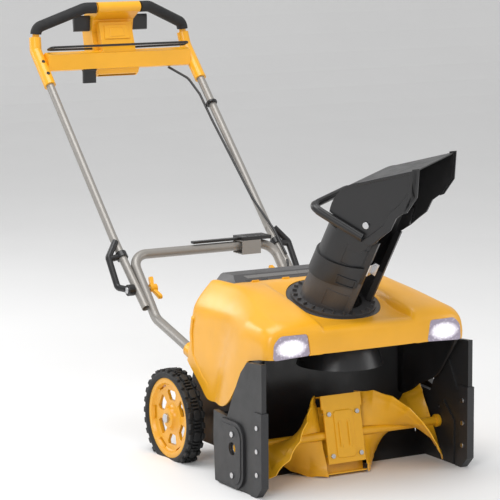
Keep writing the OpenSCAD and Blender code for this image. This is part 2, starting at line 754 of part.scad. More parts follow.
module wheel() difference() {
    bar_x(axle_back, wheel_z, rim_r, wheel_in + 4, wheel_x - 5);
    difference() {
        bar_x(axle_back, wheel_z, rim_r - 7, wheel_x - 14, wheel_x);
        bar_x(axle_back, wheel_z, 24, wheel_x - 15, wheel_x + 1);
    }
    difference() {
        bar_x(axle_back, wheel_z, rim_r - 7, wheel_in, wheel_in + 22);
        bar_x(axle_back, wheel_z, 20, wheel_in - 1, wheel_in + 23);
    }
    for (a = [30:60:330])
        bar_x(axle_back + 57 * cos(a), wheel_z + 57 * sin(a), 17, wheel_in, wheel_x);
    bar_x(axle_back, wheel_z, axle_d / 2 + run_fit, wheel_in, wheel_x);
}
module wheel_right() color(yellow) wheel();
module wheel_left() color(yellow) mirror([1, 0, 0]) wheel();

module tyre() translate([0, back(axle_back), wheel_z]) rotate([0, 90, 0]) rotate_extrude() polygon([
    [rim_r, wheel_in + 4], [wheel_d / 2 - 14, wheel_in], [wheel_d / 2 - 4, wheel_in + 3], [wheel_d / 2, wheel_in + 9],
    [wheel_d / 2, wheel_x - 9], [wheel_d / 2 - 4, wheel_x - 3], [wheel_d / 2 - 14, wheel_x], [rim_r, wheel_x - 5]]);
module tyre_right() color(black) tyre();
module tyre_left() color(black) mirror([1, 0, 0]) tyre();

module wheel_bolts() color(zinc) both_sides() difference() {
    bar_x(axle_back, wheel_z, 11, wheel_x - 5 + gap, wheel_x + 3);
    bar_x(axle_back, wheel_z, axle_d / 2, wheel_x - 8, wheel_x + 2);
}

// ---- Lower frame ---------------------------------------------------------------

press = 2.5;            // how far the two tubes are pressed flat where they cross
leg_half = upper_half - (leg_d + upper_d) / 2 + press;
flat_x = leg_half + leg_d / 2 - press / 2;
pivot_back = 701;
pivot_up = 385;
cross_back = 770;
cross_z = 459;
leg_foot = [436, 263];
leg_knee = [642, 320];
bolt_r = 4;

leg_path = [for (p = [[-1, leg_foot], [-1, leg_knee], [-1, [cross_back, cross_z]],
    [1, [cross_back, cross_z]], [1, leg_knee], [1, leg_foot]])
    [p[0] * leg_half, back(p[1][0]), p[1][1]]];

module bar_leg_hole() rod([leg_half, back(380), leg_foot[1] - 15], [leg_half, back(leg_knee[0]), leg_knee[1]], leg_d / 2 + gap);

module lower_frame() color(steel) difference() {
    bent_bar(leg_path, [50, 42, 42, 50], leg_d / 2);
    bent_bar(leg_path, [50, 42, 42, 50], leg_d / 2 - tube_t);
    both_sides() translate([flat_x - gap / 2, back(600), 250]) cube([30, 400, 400]);
    both_sides() bar_x(pivot_back, pivot_up, bolt_r + run_fit, leg_half - 30, leg_half + 30);
}

module frame_brackets() color(yellow) both_sides() difference() {
    rod([leg_half, back(430), leg_foot[1] - 1.6], [leg_half, back(472), leg_foot[1] + 10], leg_d / 2 + 7);
    rod([leg_half, back(380), leg_foot[1] - 15.5], [leg_half, back(500), leg_foot[1] + 17.7], leg_d / 2);
}

tool_x = [96, 186];
clip_t = 3;
module tool_bracket() color(steel) {
    difference() {
        block([tool_x[0] + 4, tool_x[1] - 32], [cross_back - 26, cross_back + 22],
            [cross_z - leg_d / 2 - 8, cross_z + leg_d / 2 + clip_t]);
        block([tool_x[0], tool_x[1]], [cross_back - 24, cross_back + 20], [cross_z - leg_d / 2 - 6, cross_z + leg_d / 2]);
        bar_x(cross_back, cross_z, leg_d / 2, tool_x[0], tool_x[1]);
    }
}

// Scoop for clearing packed snow, clipped along the cross tube
tool_z = cross_z + leg_d / 2 + clip_t + run_fit;
module clean_out_tool() color(black) {
    difference() {
        block([tool_x[0] + 6, tool_x[1]], [cross_back - 24, cross_back + 26], [tool_z, tool_z + 9]);
        for (i = [0:4]) block([tool_x[0] + 24 + 10 * i, tool_x[0] + 28 + 10 * i], [cross_back - 18, cross_back + 16], [tool_z + 6, tool_z + 12]);
    }
    block([-30, tool_x[0] + 7], [cross_back - 8, cross_back + 8], [tool_z, tool_z + 6]);
}

// ---- Upper handle --------------------------------------------------------------

bend_back = 824;
bend_z = 493;
upper_angle = 45.5;
lower_dir = unit([bend_back - pivot_back, bend_z - pivot_up]);
upper_dir = [cos(upper_angle), sin(upper_angle)];
tube_foot = [pivot_back, pivot_up] - 60 * lower_dir;
tube_top = [bend_back, bend_z] + upper_len * upper_dir;
socket_in = 48;

function at(x, p) = [x, back(p[0]), p[1]];

upper_path = [at(upper_half, tube_foot), at(upper_half, [bend_back, bend_z]),
    at(upper_half, tube_top + socket_in * upper_dir)];

module upper_tube() difference() {
    bent_bar(upper_path, [200], upper_d / 2);
    bent_bar(upper_path, [200], upper_d / 2 - tube_t);
    translate([flat_x - 30 + gap / 2, back(600), 250]) cube([30, 218, 600]);
    bar_x(pivot_back, pivot_up, bolt_r + run_fit, upper_half - 30, upper_half + 30);
}
module upper_tube_right() color(steel) upper_tube();
module upper_tube_left() color(steel) mirror([1, 0, 0]) upper_tube();

clamp_at = [pivot_back, pivot_up] + 109 * lower_dir;
boss_x = upper_half + upper_d / 2 + gap;
module carry_handle() difference() {
    union() {
        bent_bar([at(upper_half + 6, [804, 492]), at(upper_half + 36, [784, 456]), at(upper_half + 36, [736, 388]),
            at(boss_x + 8, [pivot_back, pivot_up])], [14, 14], 8);
        rod(at(upper_half, clamp_at), at(upper_half + 34, [782, 452]), 8);
        rod(at(upper_half, clamp_at - 8 * lower_dir), at(upper_half, clamp_at + 8 * lower_dir), upper_d / 2 + 4);
        bar_x(pivot_back, pivot_up, 14, boss_x, boss_x + 16);
    }
    bent_bar(upper_path, [200], upper_d / 2);
    bar_x(pivot_back, pivot_up, bolt_r, boss_x - 2, boss_x + 30);
    bar_x(pivot_back, pivot_up, 8 + gap, boss_x + 16, boss_x + 40);
}
module carry_handle_right() color(black) carry_handle();
module carry_handle_left() color(black) mirror([1, 0, 0]) carry_handle();

knob_x = leg_half - leg_d / 2 - 6;
module pivot_bolts() color(zinc) both_sides() {
    bar_x(pivot_back, pivot_up, bolt_r, knob_x - 12, boss_x + 16);
    bar_x(pivot_back, pivot_up, 8, boss_x + 16, boss_x + 19);
}

module wing_knob() translate([0, back(pivot_back), pivot_up]) difference() {
    union() {
        translate([knob_x - 14, 0, 0]) rotate([0, 90, 0]) cylinder(r = 10, h = 18);
        for (s = [0, 180]) rotate([s + 38, 0, 0]) hull() {
            translate([knob_x - 10, 8, -4]) cube([9, 2, 8]);
            translate([knob_x - 16, 30, 0]) rotate([0, 90, 0]) cylinder(r = 6, h = 8, $fn = 32);
        }
    }
    translate([knob_x - 12.5, 0, 0]) rotate([0, 90, 0]) cylinder(r = bolt_r + run_fit, h = 30);
}
module wing_knob_right() color(yellow) wing_knob();
module wing_knob_left() color(yellow) mirror([1, 0, 0]) wing_knob();

arm_top = tube_top + 108 * upper_dir;
grip_low = arm_top + [9, 33];
bar_back = tube_top[0] + 38;
bar_z = tube_top[1] + 186;
grip_path = [at(upper_half - 3, grip_low - [2, 8]), at(upper_half - 6, grip_low + [-2, 26]),
    at(94, [bar_back + 4, bar_z]), at(60, [bar_back, bar_z])];
grip_bends = [22, 40];
column_half = 60;
c0 = tube_top;
column_side = [for (p = [[40, 12], [52, 4], [68, 12], [118, 70], [130, 126], [114, 172], [60, 198],
    [26, 192], [28, 176], [66, 152], [72, 118], [56, 66], [32, 30]]) c0 + p];
console_t = 4;
column_room = [[46, 0], [66, 16], [113, 71], [125, 126], [109, 169], [60, 193], [34, 188], [70, 155], [76, 118], [60, 66], [40, 30]];
beam_side = [for (p = [[22, 28], [38, 24], [56, 42], [56, 66], [44, 74], [24, 68]]) c0 + p];
bail_pivot = c0 + [73, 77];
trigger_pivot = c0 + [84, 158];
lever_pivot = c0 + [34, 26];

module console() color(yellow) difference() {
    union() {
        both_sides() difference() {
            bent_bar([at(upper_half, tube_top - 12 * upper_dir), at(upper_half, arm_top), at(upper_half - 3, grip_low)],
                [20], upper_d / 2 + 5);
            rod(at(upper_half, tube_top - 20 * upper_dir), at(upper_half, tube_top + socket_in * upper_dir), upper_d / 2 + 0.02);
        }
        both_sides() bent_bar(grip_path, grip_bends, grip_d / 2 - 5.5);
        bar_x(bar_back, bar_z, grip_d / 2, -62, 62);
        slab(-column_half, column_half) polygon(column_side);
        slab(-column_half + 12, column_half - 12) polygon([for (p = [[26, 60], [60, 60], [70, 140], [56, 146]]) c0 + p]);
        slab(-upper_half + 12, upper_half - 12) polygon(beam_side);
    }
    slab(-column_half + console_t, column_half - console_t) polygon([for (p = column_room) c0 + p]);
    bar_x(trigger_pivot[0], trigger_pivot[1], 5 + run_fit, -column_half - 1, column_half + 1);
    bar_x(bail_pivot[0], bail_pivot[1], 3 + run_fit, -column_half - 1, column_half + 1);
    block([-108, -68], [lever_pivot[0] - 9, lever_pivot[0] + 9], [lever_pivot[1] - 20, lever_pivot[1] + 8]);
}

module grips() color(black) both_sides() difference() {
    bent_bar([grip_path[0] + unit(grip_path[1] - grip_path[0]) * 18, grip_path[1], grip_path[2],
        grip_path[3] + [5, 0, 0]], grip_bends, grip_d / 2);
    bent_bar(grip_path, grip_bends, grip_d / 2 - 5.5);
}

wire_r = 3;
bail_half = upper_half - 20;
module auger_bail() color(black) {
    rear = at(bail_half, bail_pivot + [-26, 3]);
    front = at(bail_half, bail_pivot + [-52, 11]);
    flip = [[-1, 0, 0], [0, 1, 0], [0, 0, 1]];
    inner = at(column_half + 12, bail_pivot);
    end = at(column_half - 20, bail_pivot);
    bent_bar([flip * end, flip * inner, flip * rear, flip * front, front, rear, inner, end], [9, 9, 9, 9, 9, 9], wire_r);
}

module paddle_trigger() color(black) {
    bar_x(trigger_pivot[0], trigger_pivot[1], 5, -column_half - 6, column_half + 6);
    both_sides() slab(column_half + 2, column_half + 48) polygon([for (p = [[-5, -34], [1, -36], [5, 2], [3, 6], [-4, 6], [-6, 0]]) trigger_pivot + p]);
}

module lock_lever() color(black) {
    bar_x(lever_pivot[0], lever_pivot[1], 6, -107, -69);
    block([-106, -70], [lever_pivot[0] - 4, lever_pivot[0] + 4], [lever_pivot[1] - 36, lever_pivot[1]]);
}

// Control cable from the console down to the cover
cable_r = 3.2;
side_gap = upper_d / 2 + cable_r + 4.5;
cable_upper = [at(150, c0 + [40, 22]), at(192, c0 + [6, -8]), at(upper_half - 18, c0 + [-36, -48]),
    at(upper_half - 17, c0 + [-100, -112]), at(upper_half - 17, [bend_back + 60, bend_z + 61] + 12 * [-0.72, 0.70]),
    at(upper_half - 3, [pivot_back + 98, pivot_up + 89] + side_gap * [-0.66, 0.75]),
    at(upper_half - 3, [pivot_back + 40, pivot_up + 35] + side_gap * [-0.66, 0.75])];
cable_lower = [at(upper_half - 12, [pivot_back + 20, pivot_up + 24] + side_gap * [-0.66, 0.75]),
    at(184, [640, 352]), at(176, [540, 318]), at(168, [432, 306])];

module harness_upper() color(black) bent_bar(cable_upper, [30, 30, 60, 60, 60], cable_r);
module harness_lower() color(black) bent_bar(cable_lower, [30, 40], cable_r);

// ---- Nodes ---------------------------------------------------------------------

auger_housing();
side_panel_left();
side_panel_right();
edge_guard_left();
edge_guard_right();
skid_shoe_left();
skid_shoe_right();
housing_bolts();
scraper_bar();
hood();
side_vent();
lamp_lens_left();
lamp_lens_right();
lamp_modules();
chassis_tub();
battery_tray();
batteries();
battery_lid();
lid_hinge_pin();
drive_cover();
drive_motor();
motor_pulley();
drive_belt();
driven_pulley();
shaft_bearings();
auger_shaft();
auger_flight_left();
auger_flight_right();
auger_paddles();
auger_bolts();
chute_base();
chute_lower();
chute_upper();
chute_latch();
deflector();
deflector_bolts();
axle();
wheel_left();
wheel_right();
tyre_left();
tyre_right();
wheel_bolts();
lower_frame();
frame_brackets();
clean_out_tool();
tool_bracket();
upper_tube_left();
upper_tube_right();
carry_handle_left();
carry_handle_right();
pivot_bolts();
wing_knob_left();
wing_knob_right();
console();
grips();
auger_bail();
paddle_trigger();
lock_lever();
harness_upper();
harness_lower();
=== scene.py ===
"""Cordless single-stage snow blower, dressed piece by piece in the order it is put together."""
import json
import math

import bmesh
import bpy
from mathutils import Matrix, Vector


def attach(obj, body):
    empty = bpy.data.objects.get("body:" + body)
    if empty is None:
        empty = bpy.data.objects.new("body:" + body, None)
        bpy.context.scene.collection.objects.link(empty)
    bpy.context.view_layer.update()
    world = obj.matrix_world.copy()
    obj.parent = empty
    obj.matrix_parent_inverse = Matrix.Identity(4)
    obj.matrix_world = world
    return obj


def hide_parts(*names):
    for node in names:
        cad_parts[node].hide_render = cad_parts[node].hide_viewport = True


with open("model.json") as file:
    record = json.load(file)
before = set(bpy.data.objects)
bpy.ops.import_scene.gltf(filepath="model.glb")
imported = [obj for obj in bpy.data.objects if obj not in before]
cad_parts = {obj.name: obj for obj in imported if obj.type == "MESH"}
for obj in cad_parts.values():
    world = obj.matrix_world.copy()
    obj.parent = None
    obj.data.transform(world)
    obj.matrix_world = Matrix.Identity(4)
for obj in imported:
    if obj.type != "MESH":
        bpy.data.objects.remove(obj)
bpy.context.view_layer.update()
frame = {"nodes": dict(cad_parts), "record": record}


# ---- Studio ---------------------------------------------------------------------
# Soft round lamps above, beside and behind the machine, an even pale light all round it, and
# a long lens low in front of its left corner. The floor comes last, with its own paint.

def look_from(azimuth, elevation, distance, target, roll):
    """Where a camera stands and how it is turned, from angles in degrees and metres."""
    a, e = math.radians(azimuth), math.radians(elevation)
    away = Vector((math.sin(a) * math.cos(e), -math.cos(a) * math.cos(e), math.sin(e)))
    turn = away.to_track_quat("Z", "Y") @ Matrix.Rotation(math.radians(roll), 3, "Z").to_quaternion()
    return target + away * distance, turn


camera = bpy.data.objects.new("camera", bpy.data.cameras.new("camera"))
camera.data.lens = 173.2
camera.data.sensor_width = 36
camera.data.clip_end = 60
camera.rotation_mode = "QUATERNION"
camera.location, camera.rotation_quaternion = look_from(
    azimuth=-30.07, elevation=8.57, distance=5.208, target=Vector((-0.309, -0.158, 0.579)), roll=-0.34)
bpy.context.collection.objects.link(camera)
bpy.context.scene.camera = camera


def soft_lamp(name, place, size, power):
    light = bpy.data.lights.new(name, "AREA")
    light.shape = "DISK"
    light.size, light.energy = size, power
    lamp = bpy.data.objects.new(name, light)
    lamp.location = place
    lamp.rotation_mode = "QUATERNION"
    lamp.rotation_quaternion = (Vector(place) - Vector((0, 0.2, 0.3))).to_track_quat("Z", "Y")
    bpy.context.collection.objects.link(lamp)


soft_lamp("top_light", (-0.6, 0.2, 3.4), size=2.4, power=60)
soft_lamp("key_light", (-2.6, -2.2, 2.2), size=1.4, power=36)
soft_lamp("side_light", (2.8, -1.8, 1.3), size=1.4, power=14)
soft_lamp("rear_light", (-1.6, 3.0, 1.8), size=1.6, power=26)

world = bpy.data.worlds.new("studio")
world.use_nodes = True
world.node_tree.nodes["Background"].inputs["Color"].default_value = (1, 1, 1, 1)
world.node_tree.nodes["Background"].inputs["Strength"].default_value = 0.62
bpy.context.scene.world = world
bpy.context.scene.view_settings.view_transform = "Standard"


# ---- Auger housing --------------------------------------------------------------
# Black moulded scroll behind the auger, with a flared skirt round the way up to the chute.
# Side panels carry the bearings; folded wear strips and skid shoes are bolted onto them.

record = frame["record"]
node_body = {n: body for body, nodes in record["behaviour"]["bodies"].items() for n in nodes}
slot_of = {s["node"]: s["material_slot"] for s in record["subparts"]}
MM = 0.001              # sizes are written in millimetres


class Value:
    """One output of a shader node, or a plain number, in an expression."""

    def __init__(self, finish, link):
        self.finish, self.link = finish, link

    def _math(self, operation, a, b):
        return self.finish.add("ShaderNodeMath", {"operation": operation}, {0: a, 1: b})

    def __add__(self, other): return self._math("ADD", self, other)
    def __radd__(self, other): return self._math("ADD", other, self)
    def __sub__(self, other): return self._math("SUBTRACT", self, other)
    def __rsub__(self, other): return self._math("SUBTRACT", other, self)
    def __mul__(self, other): return self._math("MULTIPLY", self, other)
    def __rmul__(self, other): return self._math("MULTIPLY", other, self)


class Finish:
    """A material being written: its node tree, its shader and the point on the surface."""

    def __init__(self, name, roughness=0.5, metallic=0.0, **constants):
        self.material = bpy.data.materials.new(name)
        self.material.use_nodes = True
        self.tree = self.material.node_tree
        self.shader = self.tree.nodes["Principled BSDF"]
        self.shader.inputs["Roughness"].default_value = roughness
        self.shader.inputs["Metallic"].default_value = metallic
        for socket, value in constants.items():
            self.shader.inputs[socket.replace("_", " ")].default_value = value
        self.place = self.add("ShaderNodeTexCoord", {}, {}, out="Object")

    def add(self, kind, settings, sockets, out=0):
        """Any node: its settings come first, then the values or links of its sockets."""
        node = self.tree.nodes.new(kind)
        for key, value in settings.items():
            if key == "stops":
                ramp = node.color_ramp
                while len(ramp.elements) < len(value):
                    ramp.elements.new(0.5)
                for element, (at, shade) in zip(ramp.elements, value):
                    element.position = at
                    element.color = (shade, shade, shade, 1)
            else:
                setattr(node, key, value)
        for key, value in sockets.items():
            if isinstance(value, Value):
                self.tree.links.new(value.link, node.inputs[key])
            else:
                node.inputs[key].default_value = value
        return Value(self, node.outputs[out])

    def noise(self, scale, detail=3, rough=0.55):
        return self.add("ShaderNodeTexNoise", {}, {"Vector": self.place, "Scale": scale,
                        "Detail": detail, "Roughness": rough})

    def ramp(self, value, *stops):
        return self.add("ShaderNodeValToRGB", {"stops": stops}, {0: value})

    def mix(self, factor, a, b):
        return self.add("ShaderNodeMix", {"data_type": "RGBA"}, {0: factor, 6: a, 7: b}, out=2)

    def bump(self, height, distance, strength=1.0):
        return self.add("ShaderNodeBump", {}, {"Height": height, "Distance": distance,
                        "Strength": strength})

    def feed(self, **links):
        for socket, value in links.items():
            self.tree.links.new(value.link, self.shader.inputs[socket.replace("_", " ")])
        return self.material


def rgb(red, green, blue):
    return (red, green, blue, 1)


def moulded(name, colour, roughness, grain=0.00008, grain_size=1400, spread=0.06, coat=0.0):
    """Moulded plastic: an even colour, a fine spark-eroded grain and a faint cloudiness."""
    f = Finish(name, roughness, Coat_Weight=coat, Coat_Roughness=0.25)
    cloud = f.ramp(f.noise(9), (0.3, 0.0), (0.75, 1.0))
    dark = rgb(*[c * (1 - spread) for c in colour])
    light = rgb(*[min(1, c * (1 + spread)) for c in colour])
    handled = f.ramp(f.noise(38, 5), (0.4, 0.0), (0.7, 1.0))
    return f.feed(Base_Color=f.mix(cloud, dark, light), Roughness=roughness - 0.04 + handled * 0.09,
                  Normal=f.bump(f.noise(grain_size, 2), grain))


def bare_steel(name, colour=(0.62, 0.62, 0.63), roughness=0.28):
    """Zinc-plated steel with a fine drawn grain."""
    f = Finish(name, roughness, 1.0)
    grain = f.noise(700, 4)
    return f.feed(Base_Color=f.mix(grain, rgb(*[c * 0.82 for c in colour]), rgb(*colour)),
                  Roughness=roughness - 0.08 + f.noise(90) * 0.2, Normal=f.bump(grain, 0.00003))


def round_over(piece, width, segments=2, angle=32):
    """Rounds the edges that are sharper than the angle, and shades the rest smoothly."""
    for face in piece.data.polygons:
        face.use_smooth = True
    bevel = piece.modifiers.new("edges", "BEVEL")
    bevel.width, bevel.segments = width * MM, segments
    bevel.limit_method, bevel.angle_limit = "ANGLE", math.radians(angle)
    bevel.use_clamp_overlap = True
    bevel.harden_normals = False
    normals = piece.modifiers.new("normals", "WEIGHTED_NORMAL")
    normals.keep_sharp = True
    normals.weight = 60


def softened(node, material, width=1.0, segments=2, angle=32):
    """A skin of a node's own shape with its edges rounded over, which stands for the node."""
    source = frame["nodes"][node]
    bm = bmesh.new()
    bm.from_mesh(source.data)
    bm.transform(source.matrix_world)
    bmesh.ops.remove_doubles(bm, verts=bm.verts, dist=0.00002)
    bmesh.ops.dissolve_limit(bm, angle_limit=math.radians(0.6), verts=bm.verts, edges=bm.edges,
                             delimit={"NORMAL"})
    mesh = bpy.data.meshes.new(node + "_skin")
    bm.to_mesh(mesh)
    bm.free()
    skin = bpy.data.objects.new(node + "_skin", mesh)
    bpy.context.collection.objects.link(skin)
    mesh.materials.append(material)
    round_over(skin, width, segments, angle)
    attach(skin, node_body[node])
    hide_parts(node)


housing_black = moulded("housing_black", (0.016, 0.016, 0.017), 0.34, grain=0.00004)
panel_black = moulded("panel_black", (0.020, 0.020, 0.021), 0.42)
guard_black = moulded("guard_black", (0.024, 0.024, 0.026), 0.46, grain=0.00012, grain_size=900)
bolt_steel = bare_steel("bolt_steel")

softened("auger_housing", housing_black, 1.2)
for side in ("left", "right"):
    softened("side_panel_" + side, panel_black, 2.5, 3)
    softened("edge_guard_" + side, guard_black, 0.8)
    softened("skid_shoe_" + side, guard_black, 1.8, 3)
softened("scraper_bar", guard_black, 1.0)

scraper_back = 158      # the frame's origin lies this far behind the front of the cover


def spot(x, behind, z):
    """A point given by its distance behind the front of the cover, in millimetres."""
    return Vector((x, behind - scraper_back, z)) * MM


def new_piece(name, mesh, material, body, nodes=(), slot=None):
    """A piece that rides on a body, in place of the nodes it hides; the slot argument is not used."""
    piece = bpy.data.objects.new(name, mesh)
    mesh.materials.append(material)
    bpy.context.collection.objects.link(piece)
    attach(piece, body)
    if nodes:
        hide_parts(*nodes)
    slot or slot_of[nodes[0]]
    return piece


def grid_mesh(name, rows, flip=False):
    """Quads between rows that all have the same number of points."""
    width = len(rows[0])
    points = [p for row in rows for p in row]
    quads = [(i * width + j, i * width + j + 1, (i + 1) * width + j + 1, (i + 1) * width + j)
             for i in range(len(rows) - 1) for j in range(width - 1)]
    if flip:
        quads = [q[::-1] for q in quads]
    mesh = bpy.data.meshes.new(name)
    mesh.from_pydata(points, [], quads)
    return mesh


def sheet_piece(name, rows, material, thickness, levels, body, slot):
    """A smooth sheet of even thickness through rows of points."""
    piece = new_piece(name, grid_mesh(name, rows), material, body, slot=slot)
    smooth = piece.modifiers.new("smooth", "SUBSURF")
    smooth.levels = smooth.render_levels = levels
    wall = piece.modifiers.new("wall", "SOLIDIFY")
    wall.thickness, wall.offset = thickness * MM, 0
    for face in piece.data.polygons:
        face.use_smooth = True
    return piece


# Liners inside the fenders, which close the scroll to the side panels. Each row: its height,
# and how far behind the front of the cover it starts and ends.
liner_rows = [(338, 12, 160), (300, 40, 164), (260, 74, 168), (226, 96, 176), (212, 122, 182),
              (190, 178, 192), (165, 202, 210)]
liner_steps = 5
liner_end = (226, 226)  # where each row meets the scroll: across, and behind the front


def inside_fender(behind):
    """Half width just inside the cover's wall, which draws in behind the fender."""
    at_fender, drawn_in, from_behind, over = 257, 17, 112, 50
    return at_fender - drawn_in * min(1, max(0, (behind - from_behind) / over))


for side, name in ((-1, "left"), (1, "right")):
    rows = []
    for z, first, last in liner_rows:
        steps = [first + (last - first) * k / liner_steps for k in range(liner_steps + 1)]
        rows.append([spot(side * inside_fender(d), d, z) for d in steps] +
                    [spot(side * liner_end[0], liner_end[1], z)])
    sheet_piece("fender_liner_" + name, rows, housing_black, 2.5, 1, "chassis", slot_of["auger_housing"])

# The skirt flares open downward round the front of the way up to the chute
skirt_middle = 148
skirt = [[spot(radius * math.sin(math.radians(a)), skirt_middle - radius * math.cos(math.radians(a)), height)
          for a in range(-100, 101, 20)]
         for radius, height in ((80, 340), (84, 326), (96, 298), (99, 292))]
sheet_piece("funnel_skirt", skirt, housing_black, 3, 2, "chassis", slot_of["auger_housing"])
softened("housing_bolts", bolt_steel, 0.7)


# ---- Cover ----------------------------------------------------------------------
# One golden yellow moulding over the housing and the batteries. It is a smooth shell on
# a cage of listed stations, front to back, with lamp pods and fenders at the corners.

cover_yellow = moulded("cover_yellow", (0.84, 0.40, 0.014), 0.33, grain=0.00003, coat=0.15)
charcoal = moulded("charcoal", (0.060, 0.058, 0.059), 0.42, grain=0.00010, grain_size=1100)
satin_black = moulded("satin_black", (0.014, 0.014, 0.015), 0.36, grain=0.00005)


def add_block(bm, outline, low, high, taper, place):
    """A small tapered block on an outline of (a, b) points, from low to high."""
    a0 = sum(a for a, b in outline) / len(outline)
    b0 = sum(b for a, b in outline) / len(outline)
    foot = [bm.verts.new(place(a, b, low)) for a, b in outline]
    top = [bm.verts.new(place(a0 + (a - a0) * taper, b0 + (b - b0) * taper, high)) for a, b in outline]
    bm.faces.new(foot[::-1])
    bm.faces.new(top)
    for i in range(len(outline)):
        j = (i + 1) % len(outline)
        bm.faces.new((foot[i], foot[j], top[j], top[i]))


def faced(bm, mesh):
    """Writes closed shapes into a mesh, with all their faces turned outward."""
    bmesh.ops.recalc_face_normals(bm, faces=bm.faces)
    bm.to_mesh(mesh)
    bm.free()
    return mesh


def blocks_mesh(name, blocks):
    """The mesh of some blocks, each given as add_block takes it."""
    bm = bmesh.new()
    for block in blocks:
        add_block(bm, *block)
    return faced(bm, bpy.data.meshes.new(name))


def round_points(radius, step, middle=(0, 0)):
    """A point on a circle every so many degrees."""
    return [(middle[0] + radius * math.cos(math.radians(a)), middle[1] + radius * math.sin(math.radians(a)))
            for a in range(0, 360, step)]


def settle(piece):
    """Applies a piece's modifiers to its mesh."""
    shown = bpy.context.evaluated_depsgraph_get()
    mesh = bpy.data.meshes.new_from_object(piece.evaluated_get(shown))
    piece.modifiers.clear()
    piece.data = mesh


def cut(piece, mesh):
    """Cuts a closed mesh out of a piece."""
    cutter = bpy.data.objects.new("cutter", mesh)
    bpy.context.collection.objects.link(cutter)
    knife = piece.modifiers.new("cut", "BOOLEAN")
    knife.operation, knife.solver, knife.object = "DIFFERENCE", "EXACT", cutter
    settle(piece)
    bpy.data.objects.remove(cutter)


# Each station: how far it lies behind the front, the heights of the middle and of the rim
# beside it, then five points as (across, behind, height) from the top's corner to the lip.
cover_stations = [
    # behind, middle, rim, top corner, crease, upper side, lower side, lip
    (3, 331, 331, (226, 5, 328), (250, 8, 328), (258, 14, 328), (262, 22, 327), (262, 30, 326)),
    (1, 357, 357, (228, 2, 352), (254, 7, 350), (261, 15, 345), (262, 24, 340), (262, 34, 326)),
    (3, 378, 382, (220, 6, 386), (250, 12, 378), (261, 22, 366), (262, 32, 345), (262, 44, 324)),
    (14, 386, 401, (222, 20, 400), (253, 22, 389), (262, 34, 368), (262, 46, 346), (262, 58, 321)),
    (44, 386, 411, (224, 52, 406), (253, 54, 393), (262, 62, 372), (262, 72, 346), (262, 80, 317)),
    (84, 393, 420, (222, 92, 413), (252, 98, 396), (262, 106, 372), (262, 108, 345), (262, 98, 312)),
    (120, 404, 430, (214, 124, 421), (246, 134, 400), (261, 146, 362), (262, 164, 280), (262, 182, 184)),
    (156, 415, 438, (204, 158, 430), (236, 164, 404), (250, 178, 362), (256, 208, 280), (258, 238, 190)),
    (204, 430, 447, (194, 206, 438), (233, 208, 403), (236, 216, 370), (236, 244, 290), (236, 282, 184)),
    (262, 453, 453, (188, 262, 446), (232, 262, 402), (235, 268, 370), (235, 292, 290), (235, 326, 178)),
    (296, 448, 448, (187, 296, 448), (231, 296, 402), (235, 300, 370), (235, 320, 296), (235, 348, 206)),
    (390, 448, 448, (186, 390, 448), (230, 394, 402), (234, 396, 370), (234, 404, 310), (234, 424, 258)),
    (399, 440, 440, (184, 399, 440), (224, 400, 396), (229, 402, 368), (229, 408, 312), (229, 426, 258)),
    (404, 350, 350, (180, 404, 350), (200, 405, 345), (214, 406, 340), (220, 410, 300), (222, 426, 258)),
    (424, 262, 262, (180, 425, 260), (200, 425, 260), (212, 426, 259), (217, 426, 259), (222, 427, 257)),
]


def cover_row(behind, middle, rim, *side):
    """One station of the left or right half: over the hollow and its rim, then down the side."""
    across = [(0, middle), (70, middle), (113, middle), (121, middle + 1),
              (127, rim - 1), (146, rim), (180, rim)]
    return [spot(x, behind, z) for x, z in across] + [spot(*p) for p in side]


cover_rows = [cover_row(*station) for station in cover_stations]
cover = new_piece("cover_shell", grid_mesh("cover_shell", cover_rows, flip=True), cover_yellow, "chassis",
                  ["hood"])

# How hard the edges of the cage stay: along the top corner, the crease below it, the front
# and rear ends, the row where the front turns up into the top, and the lower lip
crease = cover.data.attributes.new("crease_edge", "FLOAT", "EDGE")
columns = len(cover_rows[0])
corner_column, crease_column, brow_row = 7, 8, 2
for edge in cover.data.edges:
    (row_a, col_a), (row_b, col_b) = [divmod(v, columns) for v in edge.vertices]
    if col_a == col_b == corner_column and brow_row < min(row_a, row_b):
        crease.data[edge.index].value = 0.55
    elif col_a == col_b == crease_column and brow_row < min(row_a, row_b) <= 5:
        crease.data[edge.index].value = 0.35
    elif row_a == row_b and row_a in (0, len(cover_stations) - 1):
        crease.data[edge.index].value = 0.9
    elif row_a == row_b == brow_row:
        crease.data[edge.index].value = 0.3
    elif col_a == col_b == columns - 1:
        crease.data[edge.index].value = 1.0
mirror = cover.modifiers.new("mirror", "MIRROR")
mirror.use_clip = True
mirror.merge_threshold = 0.0004
smooth = cover.modifiers.new("smooth", "SUBSURF")
smooth.levels = smooth.render_levels = 3
wall = cover.modifiers.new("wall", "SOLIDIFY")
wall.thickness, wall.offset = 4 * MM, -1
settle(cover)

ring_centre = Vector((0, -0.004, 0.420))
ring_tilt = Matrix.Rotation(math.radians(17), 4, "X")
door_half, door_front, door_rear = 180.3, 295.7, 400.5
door_opening = [(-door_half, door_front), (door_half, door_front),
                (door_half, door_rear), (-door_half, door_rear)]
cut(cover, blocks_mesh("hole", [(round_points(110, 5), -60, 60, 1.0,
                                 lambda a, b, h: ring_centre + ring_tilt @ (Vector((a, b, h)) * MM))]))
cut(cover, blocks_mesh("door", [(door_opening, 424, 470, 1.0, spot)]))


def soft_outline(points, r, steps=5):
    """An outline with each corner drawn as a short curve that starts r before it."""
    soft = []
    for i, corner in enumerate(points):
        here = Vector(corner)
        before = here + (Vector(points[i - 1]) - here).normalized() * r
        after = here + (Vector(points[(i + 1) % len(points)]) - here).normalized() * r
        for k in range(steps + 1):
            t = k / steps
            soft.append(tuple(before * (1 - t) ** 2 + here * 2 * t * (1 - t) + after * t ** 2))
    return soft


